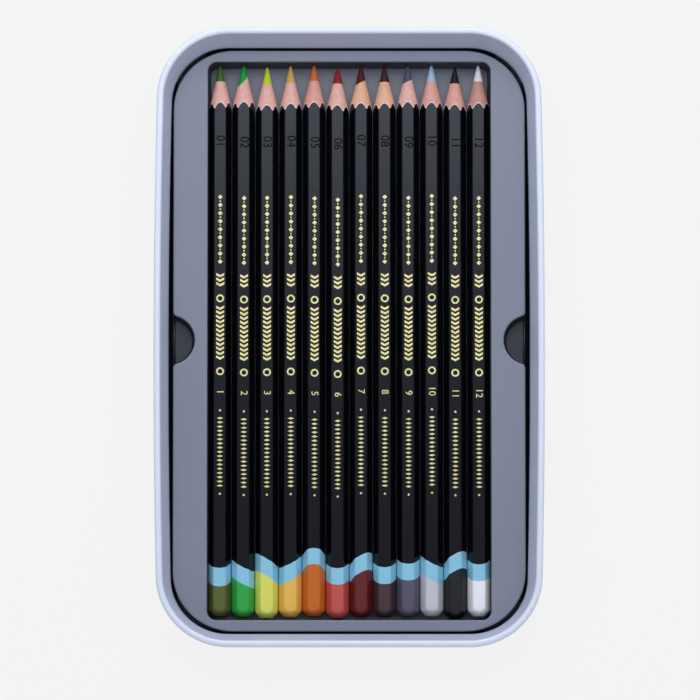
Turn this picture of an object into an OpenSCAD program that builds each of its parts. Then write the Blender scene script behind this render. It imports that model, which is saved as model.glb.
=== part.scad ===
// Colored pencil tin: an open pressed-metal base with a rolled rim, a thin
// plastic tray that lifts out of it, and twelve hexagonal pencils lying side by
// side in the tray. Each pencil is a lacquered wood casing round a glued core.
// Millimetres. The origin is the middle of the underside of the tin, the
// pencils point along +Y, and +Z is up.

/* [Tin] */
// Width over the rim at the ends of the long sides
tin_w = 121.8; // [114:0.1:130]
// Length over the rim
tin_l = 198.6; // [192:0.1:215]
// Height from the underside to the top of the rim
tin_h = 16; // [14:0.1:22]
// How far the middle of a long side stands out past its ends
side_bow = 0.86; // [0.4:0.02:1.6]
// Corner radius of the tin, over the rim
tin_corner_r = 23; // [20:0.1:28]
// Thickness of the tin plate
plate_t = 0.3; // [0.2:0.01:0.5]
// Outer radius of the rolled rim
curl_r = 0.95; // [0.8:0.01:1.3]
// Lean of the flare under the rolled rim, in degrees from upright
flare_angle = 22; // [18:1:26]
// Height of the flare
flare_h = 7; // [5:0.1:8]
// Lean of the wall below the flare, in degrees from upright
wall_draft = 2; // [1:0.5:6]
// Bend radius between the floor and the wall, at mid plate
foot_r = 2; // [1:0.1:3]

/* [Tray] */
// Thickness of the plastic sheet
sheet_t = 0.5; // [0.3:0.01:0.8]
// Gap between the tray's long edges and the tin wall, at the bottom of the lip
tray_side_gap = 0.48; // [0.2:0.01:1]
// Gap between the tray's short edges and the tin wall, at the bottom of the lip
tray_end_gap = 1.38; // [0.3:0.01:2]
// Corner radius of the tray
tray_corner_r = 19; // [16:0.1:24]
// Depth of the lip that turns down round the tray's edge
lip_h = 2.5; // [1.8:0.1:3]
// Radius of the tray's outer edge
lip_edge_r = 0.8; // [0.6:0.05:1]
// How far the deck stands above the pencils
deck_over_pencils = 0.5; // [0:0.1:1.5]
// Radius of the edge where the deck turns down into the well
well_edge_r = 0.6; // [0.55:0.05:0.8]
// Corner radius of the well
well_corner_r = 3; // [2.6:0.1:5]
// Bend radius round the floor of the well
well_foot_r = 0.9; // [0.6:0.1:1.2]
// Lean of the well's walls, in degrees from upright
well_draft = 1.5; // [0.5:0.1:3]

/* [Finger notches] */
// Radius of a finger notch
notch_r = 7.9; // [6:0.1:9]
// How far outside the tray's edge the notch is centred
notch_out = 1.1; // [0:0.1:2]
// Depth of the notch floor below the deck
notch_depth = 3.9; // [3.2:0.1:5]
// Radius that eases each end of the notch into the tray's edge
notch_ease_r = 1.4; // [0.8:0.1:2.5]

/* [Pencils] */
// Length of a pencil
pencil_l = 177; // [165:0.5:185]
// Distance between two opposite flats
pencil_flats = 6.7; // [6.2:0.05:7.2]
// Distance over two opposite rounded corners
pencil_corners = 7.27; // [6.9:0.01:7.7]
// Gap between neighbouring pencils
pencil_gap = 0.17; // [0.1:0.01:0.3]
// Gap between the outermost pencils and the walls of the well
row_gap = 0.2; // [0.15:0.01:0.6]
// Gap between the foremost pencil tips and the end of the well
tip_gap = 0.4; // [0.3:0.05:2]
// Gap behind the ends of those pencils
butt_gap = 1.5; // [1:0.05:3]
// Diameter of the colour core
core_d = 3.2; // [2.4:0.1:3.8]
// Half of the angle at which a pencil is sharpened
point_angle = 13; // [11:0.5:16]
// Radius of the ball at the blunted point
point_r = 0.45; // [0.2:0.05:0.6]
// Width of the bevel round the end of a pencil
end_bevel = 1.9; // [1:0.1:2]
// Length of the bevel round the end of a pencil
end_bevel_l = 2.9; // [1.5:0.1:3.5]
// Thickness of the closed end behind the core
end_cap = 0.6; // [0.3:0.1:2]

/* [Hidden] */
$fn = 96;
long_arc_fn = 256;   // facets of a full turn on the wide arcs of the long sides
curl_step = 18;      // degrees between the facets of the rolled rim
overlap = 1;         // how far a cutter runs past the face it cuts

// The pencils, from the left: how far each has slid back from the foremost
// ones, and the colour of its core.
setback = [0, 0.2, 0.6, 0.2, 0, 0.6, 0, 0, 0.1, 0, 0.5, 0];
core_colour = [
    "#4a6b2c", "#14983c", "#b9c82f", "#c8a44c", "#c8683a", "#8c2c2a",
    "#6a1d1a", "#5a2622", "#555962", "#a7b4c6", "#17181c", "#dcdfe4"
];
pencil_count = len(setback);

// Rim, flare and wall: mid-plate points, measured outwards from the centre of
// the tin's corner and upwards from its underside.
curl_mid_r = curl_r - plate_t / 2;
curl_c = [tin_corner_r - curl_r, tin_h - curl_r];
curl_start = curl_c + curl_mid_r * [-cos(flare_angle), sin(flare_angle)];
knee = curl_start - flare_h * [tan(flare_angle), 1];
foot_top_z = plate_t / 2 + foot_r * (1 - sin(wall_draft));
function wall_x(z) = knee.x - (knee.y - z) * tan(wall_draft);
foot_c = [wall_x(foot_top_z) - foot_r * cos(wall_draft), plate_t / 2 + foot_r];
floor_strip = 0.5;   // width of the strip of floor that the wall carries
floor_seam = 0.05;   // hairline between that strip and the floor

// Long sides of the tin: one wide arc each, tangent to the corners. The angle
// it turns is taken to the nearest whose cosine has six decimals.
corner_x = tin_w / 2 - tin_corner_r;
corner_y = tin_l / 2 - tin_corner_r;
bow_half_angle = acos(round(1e6 * cos(2 * atan(side_bow / corner_y))) / 1e6);
bow_r = corner_y / sin(bow_half_angle);
bow_c = corner_x - bow_r * cos(bow_half_angle);

// Heights in the tray.
well_floor_z = plate_t + sheet_t;
deck_z = well_floor_z + pencil_flats + deck_over_pencils;
lip_z = deck_z - lip_h;
notch_floor_z = deck_z - notch_depth;

// Outline of the tray, held off the tin wall where its lip comes closest.
wall_inset = tin_corner_r - wall_x(lip_z) + plate_t / 2 / cos(wall_draft);
tray_w = tin_w - 2 * (wall_inset + tray_side_gap);
tray_l = tin_l - 2 * (wall_inset + tray_end_gap);

// The well takes the row of pencils, level with the pencils' middles.
pitch = pencil_corners + pencil_gap;
row_w = pencil_count * pitch - pencil_gap;
axis_z = well_floor_z + pencil_flats / 2;
well_lean = (deck_z - axis_z) * tan(well_draft);
well_w = row_w + 2 * (row_gap + well_lean);
well_l = pencil_l + tip_gap + butt_gap + 2 * well_lean;
front_tip_y = well_l / 2 - well_lean - tip_gap;

// Sharpened point: the cone's own apex lies past the blunted tip, which is a
// small ball tangent to the cone.
apex_l = pencil_l + point_r / sin(point_angle) - point_r;
sharp_corner_r = pencil_flats / sqrt(3);

// Points along an arc, from angle a0 to a1, both included.
function arc(c, r, a0, a1, steps) =
    [for (i = [0:steps]) let (a = a0 + (a1 - a0) * i / steps) c + r * [cos(a), sin(a)]];

// Both faces of a sheet of thickness t, mitred round its mid line.
function unit(v) = v / norm(v);
function side_point(line, i, d) =
    let (
        last = len(line) - 1,
        before = unit(line[max(i, 1)] - line[max(i, 1) - 1]),
        after = unit(line[min(i, last - 1) + 1] - line[min(i, last - 1)]),
        across = unit([-(before.y + after.y), before.x + after.x])
    )
    line[i] + across * d / (across * [-before.y, before.x]);
function sheet_outline(line, t) = concat(
    [for (i = [0:len(line) - 1]) side_point(line, i, t / 2)],
    [for (i = [len(line) - 1:-1:0]) side_point(line, i, -t / 2)]
);

// A profile, drawn outwards from the corner's centre, swept round a rectangle
// with round corners whose centres stand at cx, cy.
module sweep_straight(cx, cy) {
    for (turn = [0, 180]) {
        rotate(turn) {
            translate([cx, cy, 0]) rotate_extrude(angle = 90) children();
            translate([-cx, cy, 0]) rotate_extrude(angle = 90, start = 90) children();
            translate([cx, cy, 0]) rotate([90, 0, 0]) linear_extrude(2 * cy) children();
            translate([-cx, cy, 0]) rotate([90, 0, 90]) linear_extrude(2 * cx) children();
        }
    }
}

// Where a long side meets a corner of the tin, turned the way the wall faces there.
module side_end() {
    translate([corner_x, corner_y, 0]) rotate(bow_half_angle) children();
}

// A quarter of the way round the tin: half an end, a corner and half a long side.
module sweep_quarter() {
    translate([0, corner_y, 0])
        rotate([90, 0, 90]) linear_extrude(corner_x) children();
    difference() {
        translate([corner_x, corner_y, 0]) rotate_extrude(angle = 90) children();
        side_end() translate([0, -tin_l, -overlap])
            cube([tin_w, tin_l, tin_h + 2 * overlap]);
    }
    intersection() {
        side_end() translate([-bow_r, 0, 0])
            rotate_extrude(angle = 2 * bow_half_angle, start = -2 * bow_half_angle,
                $fn = long_arc_fn)
                translate([bow_r, 0]) children();
        translate([0, 0, -overlap]) cube([tin_w, tin_l, tin_h + 2 * overlap]);
    }
}

// The same round the whole tin, whose long sides are wide arcs.
module sweep_bowed() {
    for (turn = [0, 180]) {
        rotate(turn) {
            sweep_quarter() children();
            mirror([1, 0, 0]) sweep_quarter() children();
        }
    }
}

// Section of the tin from a strip of its floor to the end of the rolled rim.
module tin_section() {
    mid_line = concat(
        [[foot_c.x - floor_strip, plate_t / 2]],
        arc(foot_c, foot_r, -90, -wall_draft, 6),
        [knee],
        arc(curl_c, curl_mid_r, 180 - flare_angle, 90, 3),
        arc(curl_c, curl_mid_r, 90 - curl_step, -90, 180 / curl_step - 1)
    );
    polygon(sheet_outline(mid_line, plate_t));
}

// Flat floor that fills the ring of that strip: wide arcs at the sides, round corners.
module floor_panel() {
    reach = foot_c.x - floor_strip - floor_seam;
    arc_end_y = corner_y + reach * sin(bow_half_angle);
    linear_extrude(plate_t) intersection() {
        translate([bow_c, 0]) circle(bow_r + reach, $fn = long_arc_fn);
        translate([-bow_c, 0]) circle(bow_r + reach, $fn = long_arc_fn);
        square([tin_w, 2 * arc_end_y], center = true);
    }
    for (turn = [0, 180]) {
        rotate(turn) {
            translate([corner_x, corner_y, 0])
                rotate_extrude(angle = 90 - bow_half_angle, start = bow_half_angle)
                    square([reach, plate_t]);
            translate([-corner_x, corner_y, 0])
                rotate_extrude(angle = 90 - bow_half_angle, start = 90)
                    square([reach, plate_t]);
            translate([-corner_x, corner_y, 0]) cube([2 * corner_x, reach, plate_t]);
        }
    }
}

// The pressing is one sheet, drawn as two solids: the wall with its foot and rim,
// and the floor that lies inside the foot.
module tin_wall() {
    color("#c9d0e2") sweep_bowed() tin_section();
}

module tin_floor() {
    color("#c9d0e2") floor_panel();
}

// A flat plate with round corners, its top at z.
module round_plate(w, l, r, z, t) {
    translate([0, 0, z - t]) {
        cube_w = w - 2 * r;
        cube_l = l - 2 * r;
        translate([-cube_w / 2, -cube_l / 2, 0]) cube([cube_w, cube_l, t]);
        sweep_straight(cube_w / 2, cube_l / 2) square([r, t]);
    }
}

// Section of the tray's edge: a strip of deck, the rounded edge and the lip.
module lip_section(strip) {
    mid_r = lip_edge_r - sheet_t / 2;
    edge_c = [tray_corner_r - lip_edge_r, deck_z - lip_edge_r];
    polygon(sheet_outline(concat(
        [[edge_c.x - strip, deck_z - sheet_t / 2]],
        arc(edge_c, mid_r, 90, 0, 6),
        [[edge_c.x + mid_r, lip_z]]
    ), sheet_t));
}

// Section of the well from the deck's edge down to its floor.
module well_section() {
    top_mid_r = well_edge_r - sheet_t / 2;
    foot_mid_r = well_foot_r + sheet_t / 2;
    wall_top = [well_corner_r, deck_z];
    top_c = wall_top + [well_edge_r / cos(well_draft) - well_edge_r * tan(well_draft), -well_edge_r];
    foot_z = well_floor_z + well_foot_r;
    foot_x = well_corner_r - (deck_z - foot_z) * tan(well_draft) - well_foot_r / cos(well_draft);
    polygon(sheet_outline(concat(
        arc(top_c, top_mid_r, 90, 180 + well_draft, 6),
        arc([foot_x, foot_z], foot_mid_r, well_draft, -90, 6)
    ), sheet_t));
}

// Outline of a finger notch, grown by g: a round eased into the tray's edge,
// which lies on x = 0 with the tray on the +x side.
module notch_outline(g) {
    round_c = [-notch_out, 0];
    ease_x = notch_ease_r;
    ease_y = sqrt(pow(notch_r + notch_ease_r, 2) - pow(notch_ease_r + notch_out, 2));
    turn = atan2(ease_y, ease_x + notch_out);
    step = turn / 12;
    polygon(concat(
        arc([ease_x, -ease_y], notch_ease_r - g, 180, 180 - turn, 6),
        arc(round_c, notch_r + g, step - turn, turn - step, 22),
        arc([ease_x, ease_y], notch_ease_r - g, 180 + turn, 180, 6),
        [[-notch_r, ease_y], [-notch_r, -ease_y]]
    ));
}

// Puts a form drawn for the left notch on both long edges of the tray.
module at_notches() {
    for (turn = [0, 180])
        rotate(turn) translate([-tray_w / 2, 0, 0]) children();
}

module insert_tray() {
    strip = 0.6;
    rim_r = tray_corner_r - lip_edge_r - strip;
    edge_band = lip_edge_r + strip;
    well_outer_r = well_corner_r + well_edge_r / cos(well_draft) - well_edge_r * tan(well_draft);
    well_cx = well_w / 2 - well_corner_r;
    well_cy = well_l / 2 - well_corner_r;
    floor_r = well_corner_r - (deck_z - well_floor_z - well_foot_r) * tan(well_draft)
        - well_foot_r / cos(well_draft);
    color("#8d92a2") {
        difference() {
            union() {
                sweep_straight(tray_w / 2 - tray_corner_r, tray_l / 2 - tray_corner_r)
                    lip_section(strip);
                difference() {
                    round_plate(
                        tray_w - 2 * edge_band, tray_l - 2 * edge_band, rim_r, deck_z, sheet_t
                    );
                    round_plate(
                        2 * (well_cx + well_outer_r), 2 * (well_cy + well_outer_r), well_outer_r,
                        deck_z + overlap, sheet_t + 2 * overlap
                    );
                }
            }
            at_notches() translate([0, 0, lip_z - overlap])
                linear_extrude(lip_h + 2 * overlap) notch_outline(0);
        }
        sweep_straight(well_cx, well_cy) well_section();
        round_plate(
            2 * (well_cx + floor_r), 2 * (well_cy + floor_r), floor_r, well_floor_z, sheet_t
        );
        notch_pockets();
    }
}

// Recessed floors of the finger notches, with the walls that carry them. The
// walls end a little inside the tray's rounded edge.
module notch_pockets() {
    floor_under_z = notch_floor_z - sheet_t;
    reach = notch_r + notch_ease_r;
    tuck = 0.05;
    edge_c = [lip_edge_r, deck_z - lip_edge_r];
    at_notches() {
        intersection() {
            translate([0, 2 * reach, 0]) rotate([90, 0, 0]) linear_extrude(4 * reach)
                polygon(concat(
                    [[tuck, 0], [reach, 0], [reach, deck_z]],
                    arc(edge_c, lip_edge_r - tuck, 90, 180, 6)
                ));
            difference() {
                translate([0, 0, floor_under_z])
                    linear_extrude(notch_depth + sheet_t) notch_outline(sheet_t);
                translate([0, 0, notch_floor_z])
                    linear_extrude(notch_depth + overlap) notch_outline(0);
            }
        }
    }
}

// A pencil's own parts stand on their end, with the point up.
module barrel() {
    full_r = pencil_corners / 2;
    shoulder = apex_l - full_r / tan(point_angle);
    end_r = full_r - end_bevel;
    difference() {
        intersection() {
            cylinder(h = apex_l, r = sharp_corner_r, $fn = 6);
            rotate_extrude() polygon([
                [0, 0], [end_r, 0], [full_r, end_bevel_l], [full_r, shoulder], [0, apex_l]
            ]);
        }
        translate([0, 0, end_cap]) cylinder(h = apex_l, d = core_d);
    }
}

module core() {
    shoulder = apex_l - core_d / 2 / tan(point_angle);
    rotate_extrude() polygon(concat(
        [[0, end_cap], [core_d / 2, end_cap], [core_d / 2, shoulder]],
        arc([0, pencil_l - point_r], point_r, point_angle, 90, 5)
    ));
}

// Lays a standing part of pencil number n, from 0, in its place in the well.
module lay(n) {
    x = (n - (pencil_count - 1) / 2) * pitch;
    y = front_tip_y - setback[n] - pencil_l;
    translate([x, y, axis_z]) rotate([-90, 0, 0]) children();
}

module pencil_barrel(n) {
    color("#26262c") lay(n) barrel();
}

module pencil_core(n) {
    color(core_colour[n]) lay(n) core();
}

tin_wall();
tin_floor();
insert_tray();
pencil_barrel(0);  // pencil_01_barrel
pencil_barrel(1);  // pencil_02_barrel
pencil_barrel(2);  // pencil_03_barrel
pencil_barrel(3);  // pencil_04_barrel
pencil_barrel(4);  // pencil_05_barrel
pencil_barrel(5);  // pencil_06_barrel
pencil_barrel(6);  // pencil_07_barrel
pencil_barrel(7);  // pencil_08_barrel
pencil_barrel(8);  // pencil_09_barrel
pencil_barrel(9);  // pencil_10_barrel
pencil_barrel(10);  // pencil_11_barrel
pencil_barrel(11);  // pencil_12_barrel
pencil_core(0);  // pencil_01_core
pencil_core(1);  // pencil_02_core
pencil_core(2);  // pencil_03_core
pencil_core(3);  // pencil_04_core
pencil_core(4);  // pencil_05_core
pencil_core(5);  // pencil_06_core
pencil_core(6);  // pencil_07_core
pencil_core(7);  // pencil_08_core
pencil_core(8);  // pencil_09_core
pencil_core(9);  // pencil_10_core
pencil_core(10);  // pencil_11_core
pencil_core(11);  // pencil_12_core
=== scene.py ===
# %% [markdown]
# A flat tin of colored pencils, open, with a grey plastic tray and twelve pencils.
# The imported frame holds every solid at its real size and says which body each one
# rides on. This script gives them their looks. It starts from the frame, so that
# nothing has to be fitted afterwards: every size below comes from the frame's own
# boxes or is a named size of the real object.

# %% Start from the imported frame
import math

import bmesh
import bpy
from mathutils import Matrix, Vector


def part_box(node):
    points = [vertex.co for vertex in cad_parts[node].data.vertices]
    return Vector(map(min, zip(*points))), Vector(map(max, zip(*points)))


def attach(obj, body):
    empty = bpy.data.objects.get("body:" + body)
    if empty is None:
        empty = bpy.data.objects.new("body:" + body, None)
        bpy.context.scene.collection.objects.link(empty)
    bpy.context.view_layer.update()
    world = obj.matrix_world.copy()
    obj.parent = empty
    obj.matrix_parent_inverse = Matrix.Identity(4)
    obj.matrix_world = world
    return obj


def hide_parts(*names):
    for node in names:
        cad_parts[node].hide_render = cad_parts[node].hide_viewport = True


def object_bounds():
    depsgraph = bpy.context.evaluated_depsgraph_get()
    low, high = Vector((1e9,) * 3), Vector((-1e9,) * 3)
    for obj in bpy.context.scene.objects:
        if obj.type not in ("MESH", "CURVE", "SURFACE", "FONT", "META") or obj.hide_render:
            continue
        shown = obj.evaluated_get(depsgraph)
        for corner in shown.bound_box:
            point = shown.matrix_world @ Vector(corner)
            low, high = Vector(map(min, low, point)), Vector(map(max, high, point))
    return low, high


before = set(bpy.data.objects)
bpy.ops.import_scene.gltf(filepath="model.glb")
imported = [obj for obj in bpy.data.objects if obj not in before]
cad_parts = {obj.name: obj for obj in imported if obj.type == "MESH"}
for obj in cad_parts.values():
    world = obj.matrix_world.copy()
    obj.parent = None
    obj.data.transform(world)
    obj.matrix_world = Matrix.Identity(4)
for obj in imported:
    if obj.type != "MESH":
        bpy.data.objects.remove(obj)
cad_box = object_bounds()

MM = 0.001


# %% [markdown]
# Node trees, for materials and for geometry, are easier to read when one short line
# adds a node, sets its values and joins its inputs. A value that is a socket is
# linked, and any other value is typed into the node's own socket.

# %% Helpers for node trees
def add(tree, kind, inputs=None, **settings):
    node = tree.nodes.new(kind)
    for name, value in settings.items():
        setattr(node, name, value)
    for key, value in (inputs or {}).items():
        if isinstance(value, bpy.types.NodeSocket):
            tree.links.new(value, node.inputs[key])
        else:
            node.inputs[key].default_value = value
    return node


def calc(tree, operation, *values):
    return add(tree, "ShaderNodeMath", dict(enumerate(values)), operation=operation).outputs[0]


def blend_colours(tree, factor, low, high, how="MIX"):
    inputs = {0: factor, 6: low, 7: high}
    node = add(tree, "ShaderNodeMix", inputs, data_type="RGBA", blend_type=how)
    return node.outputs[2]


def spread(tree, value, low, high, to_low=0.0, to_high=1.0):
    inputs = {0: value, 1: low, 2: high, 3: to_low, 4: to_high}
    return add(tree, "ShaderNodeMapRange", inputs).outputs[0]


def colour(red, green, blue):
    """A colour written as 0 to 255, as a screen shows it, turned into linear light."""
    def linear(part):
        part /= 255
        return part / 12.92 if part <= 0.04045 else ((part + 0.055) / 1.055) ** 2.4
    return (linear(red), linear(green), linear(blue), 1.0)


# %% [markdown]
# The camera looks down on the tin from straight above, leaning a little towards the
# near end, so the far wall shows more than the near one. A long lens from far away
# keeps the long sides parallel. The scale is set by the width of tin that one
# picture width takes in.

# %% Camera
CAMERA_LEAN = math.radians(9.8)
CAMERA_DISTANCE = 4.0
VIEW_WIDTH = 221.2 * MM
LOOK_AT = Vector((0.25 * MM, -3.27 * MM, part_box("insert_tray")[1].z))

camera_data = bpy.data.cameras.new("camera")
camera_data.lens = camera_data.sensor_width * CAMERA_DISTANCE / VIEW_WIDTH
camera_data.clip_end = 50
camera = bpy.data.objects.new("camera", camera_data)
bpy.context.scene.collection.objects.link(camera)
towards_camera = Vector((0, -math.sin(CAMERA_LEAN), math.cos(CAMERA_LEAN)))
camera.location = LOOK_AT + towards_camera * CAMERA_DISTANCE
camera.rotation_euler = (CAMERA_LEAN, 0, 0)
bpy.context.scene.camera = camera
bpy.context.scene.view_settings.view_transform = "Standard"
print("lens", round(camera_data.lens), "mm")


# %% [markdown]
# Metal and lacquer are mostly what they reflect, so the surroundings matter as much as
# the material. A pale world fills the shadows. The camera sees it as bright as paper,
# and so does glass, while metal and lacquer mirror a fifth of that, because black
# lacquer in an all white room would look grey.

# %% World
PAPER = colour(245, 245, 245)
SKY_TINT = (0.8, 0.87, 1.0, 1.0)
SKY_STRENGTH = 0.14
SKY_MIRRORED = 0.2


def sees_paper(tree, mirrored):
    """1 for rays that should meet plain paper; mirrored is the share for glossy rays."""
    ray = add(tree, "ShaderNodeLightPath").outputs
    straight = calc(tree, "MAXIMUM", ray["Is Camera Ray"], ray["Is Transmission Ray"])
    return calc(tree, "MAXIMUM", straight, calc(tree, "MULTIPLY", ray["Is Glossy Ray"], mirrored))


def studio_world():
    world = bpy.data.worlds.new("studio")
    world.use_nodes = True
    sky = world.node_tree
    sky.nodes.clear()
    seen = sees_paper(sky, SKY_MIRRORED)
    fill = add(sky, "ShaderNodeBackground", {"Color": SKY_TINT, "Strength": SKY_STRENGTH})
    paper = add(sky, "ShaderNodeBackground", {"Color": PAPER, "Strength": 1.0})
    either = add(sky, "ShaderNodeMixShader", {0: seen, 1: fill.outputs[0], 2: paper.outputs[0]})
    add(sky, "ShaderNodeOutputWorld", {0: either.outputs[0]})
    return world


bpy.context.scene.world = studio_world()
print("world strength", SKY_STRENGTH)


# %% [markdown]
# One big soft box hangs beyond the far end of the tin: it brightens the far half of
# every surface that faces up. Three dim strips, at the near end and at the two sides,
# edge the rolled rim. Many small lamps would draw many small highlights on the
# lacquer, so the two side strips light it without being mirrored in it.

# %% Lamps
COOL = (0.88, 0.93, 1.0)
LAMP_HEIGHT = 0.6


def soft_box(name, x, y, size, power, mirrored=True):
    """A lamp at (x, y) that faces the middle of the tin. Sizes are in metres."""
    lamp = bpy.data.lights.new(name, "AREA")
    lamp.shape = "RECTANGLE"
    lamp.size, lamp.size_y = size
    lamp.energy = power
    lamp.color = COOL
    holder = bpy.data.objects.new(name, lamp)
    holder.location = (x, y, LAMP_HEIGHT)
    holder.rotation_euler = (-holder.location).to_track_quat("-Z", "Y").to_euler()
    holder.visible_glossy = mirrored
    bpy.context.scene.collection.objects.link(holder)
    print(name, power, "W")


soft_box("far_soft_box", 0, 0.5, (1.0, 0.76), 6.2)
soft_box("near_strip", 0, -0.9, (1.2, 0.3), 2.8)
soft_box("right_strip", 1.0, -0.1, (0.3, 1.2), 2.8, mirrored=False)
soft_box("left_strip", -1.0, -0.1, (0.3, 1.2), 2.5, mirrored=False)


# %% [markdown]
# A product like this is usually shown on seamless paper. A white floor alone turns
# grey where the lamps fall off, and a bare backdrop would leave the tin floating. So
# the paper is mostly its own flat tone, with a small share that is lit and keeps the
# soft shadow round the tin's foot.

# %% Floor
FLAT_SHARE = 0.93
FLOOR_HALF = 3.0
FLOOR_CLEARANCE = 0.05 * MM


def paper_finish():
    """White paper that looks like the backdrop and still takes the tin's shadow."""
    material = bpy.data.materials.new("paper")
    material.use_nodes = True
    tree = material.node_tree
    tree.nodes.clear()
    share = calc(tree, "MULTIPLY", sees_paper(tree, 1.0), FLAT_SHARE)
    lit = add(tree, "ShaderNodeBsdfDiffuse", {"Color": PAPER})
    flat = add(tree, "ShaderNodeEmission", {"Color": PAPER, "Strength": 1.0})
    mix = add(tree, "ShaderNodeMixShader", {0: share, 1: lit.outputs[0], 2: flat.outputs[0]})
    add(tree, "ShaderNodeOutputMaterial", {0: mix.outputs[0]})
    return material


def paper_floor(half):
    mesh = bpy.data.meshes.new("floor")
    corners = [(-half, -half, 0), (half, -half, 0), (half, half, 0), (-half, half, 0)]
    mesh.from_pydata(corners, [], [(0, 1, 2, 3)])
    mesh.materials.append(paper_finish())
    floor = bpy.data.objects.new("floor", mesh)
    floor.location.z = cad_box[0].z - FLOOR_CLEARANCE
    bpy.context.scene.collection.objects.link(floor)
    return floor


paper_floor(FLOOR_HALF)
print("floor", 2 * FLOOR_HALF, "m wide")


# %% [markdown]
# Every finish starts from the same Principled shader. A tiny bump from noise breaks
# up the reflections, because no pressed, moulded or dipped surface is optically flat.

# %% Helpers for finishes
def finish_for(name, **sockets):
    material = bpy.data.materials.new(name)
    material.use_nodes = True
    tree = material.node_tree
    shader = tree.nodes["Principled BSDF"]
    for key, value in sockets.items():
        shader.inputs[key.replace("_", " ")].default_value = value
    return material, tree, shader


def object_place(tree, scale=(1, 1, 1)):
    place = add(tree, "ShaderNodeTexCoord").outputs["Object"]
    return add(tree, "ShaderNodeMapping", {"Vector": place, "Scale": scale}).outputs[0]


def noise(tree, place, scale, detail=3.0, roughness=0.5):
    inputs = {"Vector": place, "Scale": scale, "Detail": detail, "Roughness": roughness}
    return add(tree, "ShaderNodeTexNoise", inputs).outputs["Fac"]


def bump(tree, shader, height, distance, strength=1.0, under=None):
    inputs = {"Height": height, "Distance": distance, "Strength": strength}
    if under is not None:
        inputs["Normal"] = under
    made = add(tree, "ShaderNodeBump", inputs).outputs[0]
    tree.links.new(made, shader.inputs["Normal"])
    return made


# %% [markdown]
# The tin is thin steel, drawn in a press. A pale silver lacquer covers it. The top of the
# rolled rim is painted a little brighter than the wall: a painted highlight where it faces
# up into the lamps. The plate that the tray hides is left bare, and the inside below the
# tray's deck, in the narrow gap round the tray, is painted dark as painted shade. All of
# it keeps a faint mottle and fine draw marks that run up the wall. A picture of scratched
# metal could be wrapped round the wall, but noise on object coordinates needs no file and has no seam.

# %% Silver lacquered tinplate
# The top of the roll, from this height up, is painted lighter: a painted highlight.
RIM_PAINTED_HIGHLIGHT = colour(227, 231, 245)
RIM_HIGHLIGHT_STARTS = 15.2 * MM
RIM_HIGHLIGHT_FULL = 15.45 * MM
MOTTLE_SCALE = 90
DRAW_MARK_SCALE = 1500
DRAW_MARK_DEPTH = 0.004 * MM
UP_THE_WALL = (1, 1, 0.04)


def tinplate(name, dark, light, metallic):
    """Sheet steel, mottled from dark to light; metallic falls as its lacquer thickens."""
    material, tree, shader = finish_for(name, Metallic=metallic)
    place = object_place(tree)
    mottle = noise(tree, place, MOTTLE_SCALE, 4, 0.6)
    sheet = blend_colours(tree, mottle, dark, light)
    height = add(tree, "ShaderNodeSeparateXYZ", {0: place}).outputs["Z"]
    # Blends the top of the rim to a lighter silver: a painted highlight.
    rim_highlight = spread(tree, height, RIM_HIGHLIGHT_STARTS, RIM_HIGHLIGHT_FULL)
    tree.links.new(blend_colours(tree, rim_highlight, sheet, RIM_PAINTED_HIGHLIGHT), shader.inputs["Base Color"])
    tree.links.new(spread(tree, mottle, 0.3, 0.7, 0.5, 0.58), shader.inputs["Roughness"])
    draw_marks = noise(tree, object_place(tree, UP_THE_WALL), DRAW_MARK_SCALE, 2)
    bump(tree, shader, draw_marks, DRAW_MARK_DEPTH, 0.6)
    return material


LACQUERED = tinplate("silver_tinplate", colour(197, 202, 221), colour(206, 211, 230), 0.25)
# Dark plate for the gap round the tray: painted shade.
PAINTED_SHADE_PLATE = tinplate("painted_shade_tinplate", colour(84, 90, 104), colour(98, 104, 118), 1.0)
BARE_PLATE = tinplate("bare_tinplate", colour(140, 146, 160), colour(154, 160, 174), 0.4)
print("tinplate:", LACQUERED.name, PAINTED_SHADE_PLATE.name, BARE_PLATE.name)


# %% [markdown]
# The tin's wall is one strip of sheet whose section is the same all the way round:
# floor, bend, wall, flare and rolled rim. Such a shape could be a stack of hand
# placed loops, but a section swept round an outline says what the press does, and
# every size stays editable. The section is drawn once as a line of points down the
# middle of the sheet, and both faces are set off from that line by half its
# thickness.

# %% Lines and faces of a bent sheet
def arc(centre, radius, start, end, steps):
    """Points on an arc from one angle to another, in degrees."""
    turns = [math.radians(start + (end - start) * i / steps) for i in range(steps + 1)]
    return [Vector((centre[0] + radius * math.cos(t), centre[1] + radius * math.sin(t)))
            for t in turns]


def soft_corner(below, knee, lean, reach, steps=6):
    """A short curve in place of the corner where a wall bends outwards by lean degrees."""
    lean = math.radians(lean)
    start = knee + (below - knee).normalized() * reach
    end = knee + Vector((math.sin(lean), math.cos(lean))) * reach
    shares = [i / steps for i in range(steps + 1)]
    return [start * (1 - t) ** 2 + knee * 2 * t * (1 - t) + end * t ** 2 for t in shares]


def sheet_faces(line, thickness):
    """Both faces of a bent sheet: up its left side, round its end, back down its right."""
    def beside(i, distance):
        before = (line[max(i, 1)] - line[max(i, 1) - 1]).normalized()
        after = (line[min(i, len(line) - 2) + 1] - line[min(i, len(line) - 2)]).normalized()
        across = Vector((-(before.y + after.y), before.x + after.x)).normalized()
        return line[i] + across * distance / across.dot(Vector((-before.y, before.x)))
    places = range(len(line))
    left = [beside(i, thickness / 2) for i in places]
    return left + [beside(i, -thickness / 2) for i in reversed(places)]


# %% [markdown]
# The tin's outer size comes from the frame's box. The rest are a press tool's sizes:
# plate, bend, draft, flare and roll. The roll is wider than it is high, because it is
# pressed down flat after it is curled.

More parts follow.
